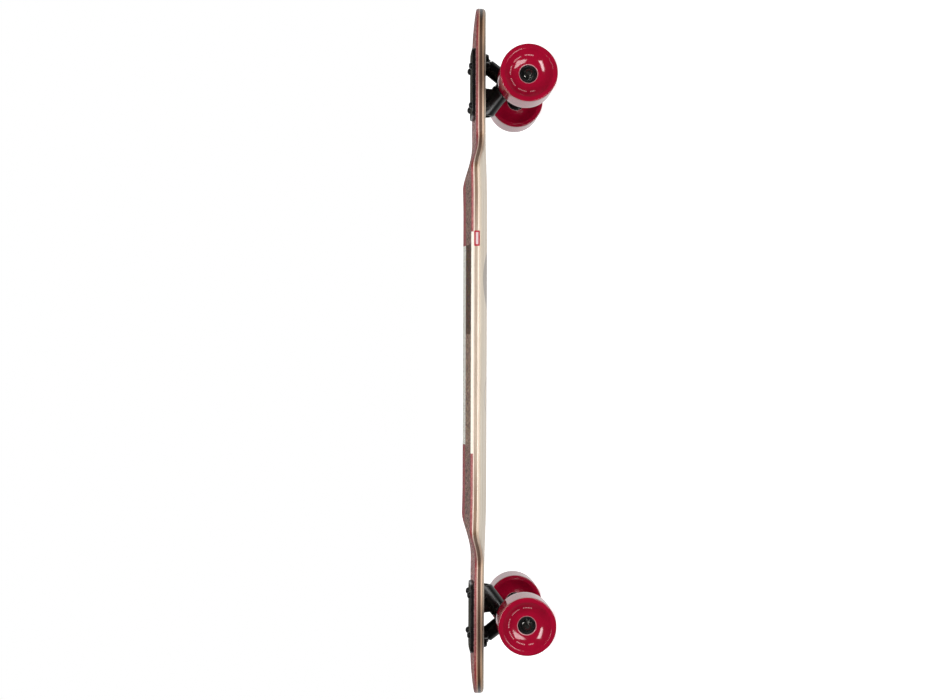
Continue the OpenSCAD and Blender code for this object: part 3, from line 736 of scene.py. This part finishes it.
def build_trucks():
    """Both trucks' castings and bushings; their steel parts are the CAD's own."""
    cast = cast_material()
    rubber = plastic_material("bushing_urethane", (0.006, 0.006, 0.006), 0.34, 700, 0.1 * MM)
    for end in ENDS:
        casting(end + "_hanger", end + "_truck", cast)
        casting(end + "_baseplate", "deck", cast)
        for kind in ("boardside", "roadside"):
            bushing(end, kind, rubber)


# ---- Wheels -----------------------------------------------------------------------------------------


CORE_R = 17 * MM
TYRE_EDGE_R = 1.2 * MM
OPENING_R = 1.2 * MM
LIP_WIDTH = 6 * MM


def tyre_profile(r, half, seat_y):
    """Closed section of the tyre: hub opening, dished face, flat lip and square tread, both sides alike."""
    crease_r = r - LIP_WIDTH
    mouth_y = seat_y + 1.3 * MM
    side = [(CORE_R - 1 * MM, seat_y), (HUB_R, seat_y)]
    side += arc(HUB_R + OPENING_R, mouth_y, OPENING_R, 180, 100, 8)
    start, end = HUB_R + 1.5 * MM, crease_r - 0.15 * MM
    rise = half - 0.65 * MM - mouth_y - OPENING_R
    side += [(start + (end - start) * t, mouth_y + OPENING_R + rise * (1 - math.cos(math.pi / 2 * t)))
             for t in list(np.linspace(0.03, 0.95, 18)) + [0.985, 1]]
    side += [(crease_r + 0.05 * MM, half - 0.54 * MM), (crease_r + 0.3 * MM, half - 0.48 * MM)]
    side += [(crease_r + 0.8 * MM, half - 0.42 * MM), (crease_r + 2.4 * MM, half - 0.25 * MM)]
    side += arc(r - TYRE_EDGE_R, half - TYRE_EDGE_R, TYRE_EDGE_R, 86, 0, 7)
    side += [(r, half * t) for t in (0.6, 0.3)]
    other = [(x, -y) for x, y in reversed(side)]
    inner = [(CORE_R, 1 * MM - seat_y), (CORE_R, seat_y - 1 * MM)]
    return side + other + inner


def build_wheel(end, side):
    """One cast tyre, sized and placed by the CAD's tyre and core."""
    name = f"{end}_{side}"
    low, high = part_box(name + "_tyre")
    centre = (low + high) / 2
    r, half = (high.z - low.z) / 2, (high.y - low.y) / 2
    core_low, core_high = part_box(name + "_core")
    core_half = (core_high.y - core_low.y) / 2
    look = urethane_material(name + "_urethane", centre, r, SIDES[side])
    profile = tyre_profile(r, half, core_half)
    tyre = lathe(name + "_cast_tyre", profile, centre, (0, 1, 0), look, 160, 28)
    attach(tyre, name + "_wheel")
    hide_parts(name + "_tyre")


def build_wheels():
    for end in ENDS:
        for side in SIDES:
            build_wheel(end, side)


# ---- Carried-over CAD nodes -------------------------------------------------------------------------


def dress(obj, material):
    """Puts a material in a CAD node's slot and shades its round faces smooth."""
    mesh = obj.data
    mesh.materials.clear()
    mesh.materials.append(material)
    mesh.polygons.foreach_set("use_smooth", [True] * len(mesh.polygons))
    mesh.set_sharp_from_angle(angle=math.radians(30))


def dress_hardware():
    """Gives every CAD node that stays a material by the end of its name; the last ending that fits wins."""
    zinc = metal_material("zinc_steel", (0.55, 0.55, 0.56), 0.3)
    ground = metal_material("ground_steel", (0.65, 0.65, 0.66), 0.15)
    nickel = metal_material("dark_nickel", (0.15, 0.145, 0.135), 0.17)
    black_steel = metal_material("black_steel", (0.008, 0.008, 0.008), 0.28, 0.3, 0.3)
    looks = {
        "deck_bolts": black_steel, "deck_nuts": black_steel,
        "kingpins": zinc, "kingpin_nuts": zinc, "bushing_washers": zinc,
        "_axle": nickel, "_axle_nuts": nickel, "_speed_washers": zinc,
        "_bearing_spacers": ground, "_races": ground, "_outer_races": black_steel, "_balls": ground,
        "_pivot_cup": plastic_material("cup_plastic", (0.03, 0.03, 0.03)),
        "_shields": plastic_material("black_shield", (0.004, 0.004, 0.004), 0.22, 900),
        "_cages": metal_material("cage_brass", (0.65, 0.48, 0.25), 0.3),
        "_core": plastic_material("wheel_core", (0.006, 0.006, 0.006), 0.3),
    }
    for name, obj in frame["nodes"].items():
        for ending, material in looks.items():
            if name.endswith(ending):
                dress(obj, material)


# ---- Stage ------------------------------------------------------------------------------------------

# Angles are in degrees, the sensor and the lens in millimetres, and the rest in metres.
FLOOR_HALF = 12.0
CAMERA_AIM = (0, 1.8 * MM, 99.7 * MM)
CAMERA_DISTANCE = 2.04
CAMERA_AZIMUTH = 0.68
CAMERA_ELEVATION = 2.92
CAMERA_ROLL = -0.19
SENSOR_WIDTH = 36
LENS = 56.27


def pale_floor():
    """A large pale floor that only the camera sees, so that the lamps below it light the underside."""
    g = Graph("floor")
    dust = g.noise(30, 4, 0.6)
    g.set(Base_Color=g.mul((0.90, 0.90, 0.90), g.span(dust, 0.3, 0.7, 0.99, 1.01)), Roughness=0.9)
    g.set(Emission_Color=(1, 1, 1), Emission_Strength=0.88)
    clear = g.add("ShaderNodeBsdfTransparent")
    front = g.math("SUBTRACT", 1.0, g.add("ShaderNodeNewGeometry").outputs["Backfacing"])
    shown = g.math("MULTIPLY", front, g.add("ShaderNodeLightPath").outputs["Is Camera Ray"])
    mixer = g.add("ShaderNodeMixShader")
    g.plug(mixer.inputs[0], shown)
    g.plug(mixer.inputs[1], clear.outputs[0])
    g.plug(mixer.inputs[2], g.bsdf.outputs[0])
    g.plug(g.tree.nodes["Material Output"].inputs["Surface"], mixer.outputs[0])
    mesh = bpy.data.meshes.new("floor")
    corners = [(FLOOR_HALF * x, FLOOR_HALF * y, 0) for x, y in ((-1, -1), (1, -1), (1, 1), (-1, 1))]
    mesh.from_pydata(corners, [], [(0, 1, 2, 3)])
    mesh.materials.append(g.material)
    floor = bpy.data.objects.new("floor", mesh)
    bpy.context.scene.collection.objects.link(floor)


def softbox(name, place, size, radiance):
    """A rectangular lamp that faces the origin. Its size is given along the board, then across it."""
    data = bpy.data.lights.new(name, "AREA")
    data.shape = "RECTANGLE"
    data.size, data.size_y = size
    data.energy = radiance * math.pi * size[0] * size[1]
    lamp = bpy.data.objects.new(name, data)
    lamp.location = place
    ahead = -Vector(place).normalized()
    side = Vector((1, 0, 0))
    up = side.cross(ahead)
    lamp.matrix_world = Matrix.Translation(place) @ Matrix((side, -up, -ahead)).transposed().to_4x4()
    lamp.visible_camera = False
    bpy.context.scene.collection.objects.link(lamp)


def backdrop():
    """White behind the board and dim on the camera's side, so that black parts stay black."""
    world = bpy.data.worlds.new("studio")
    world.use_nodes = True
    tree = world.node_tree
    background = tree.nodes["Background"]
    direction = tree.nodes.new("ShaderNodeTexCoord").outputs["Generated"]
    split = tree.nodes.new("ShaderNodeSeparateXYZ")
    tree.links.new(direction, split.inputs[0])
    fade = tree.nodes.new("ShaderNodeMapRange")
    fade.interpolation_type = "SMOOTHSTEP"
    for key, number in (("From Min", -0.25), ("From Max", 0.45), ("To Min", 0.05), ("To Max", 0.85)):
        fade.inputs[key].default_value = number
    tree.links.new(split.outputs["Y"], fade.inputs["Value"])
    seen = tree.nodes.new("ShaderNodeMath")
    seen.operation = "MAXIMUM"
    tree.links.new(fade.outputs["Result"], seen.inputs[0])
    tree.links.new(tree.nodes.new("ShaderNodeLightPath").outputs["Is Camera Ray"], seen.inputs[1])
    tree.links.new(seen.outputs[0], background.inputs["Strength"])
    background.inputs["Color"].default_value = (1, 1, 1, 1)
    bpy.context.scene.world = world


def studio():
    """White surroundings and two soft lamps, one above and one below the board's near side."""
    backdrop()
    bpy.context.scene.view_settings.view_transform = "Standard"
    softbox("softbox_above", place=(0, -1.28, 0.95), size=(0.95, 0.40), radiance=14)
    softbox("softbox_below", place=(0, -1.28, -0.60), size=(0.66, 0.86), radiance=9)


def camera():
    """Long lens level with the board, rolled a quarter turn, so that the nose points up."""
    azimuth, elevation, roll = map(math.radians, (CAMERA_AZIMUTH, CAMERA_ELEVATION, CAMERA_ROLL))
    level = Vector((math.sin(azimuth), math.cos(azimuth), 0))
    ahead = level * math.cos(elevation) - Vector((0, 0, math.sin(elevation)))
    nose = Vector((1, 0, 0))
    up = (nose - ahead * nose.dot(ahead)).normalized()
    up.rotate(Matrix.Rotation(roll, 3, ahead))
    right = ahead.cross(up)
    data = bpy.data.cameras.new("camera")
    data.sensor_width = SENSOR_WIDTH
    data.lens = LENS
    cam = bpy.data.objects.new("camera", data)
    turn = Matrix((right, up, -ahead)).transposed().to_4x4()
    cam.matrix_world = Matrix.Translation(Vector(CAMERA_AIM) - ahead * CAMERA_DISTANCE) @ turn
    bpy.context.scene.collection.objects.link(cam)
    bpy.context.scene.camera = cam


build_deck()
build_sticker()
build_trucks()
build_wheels()
dress_hardware()
pale_floor()
studio()
camera()
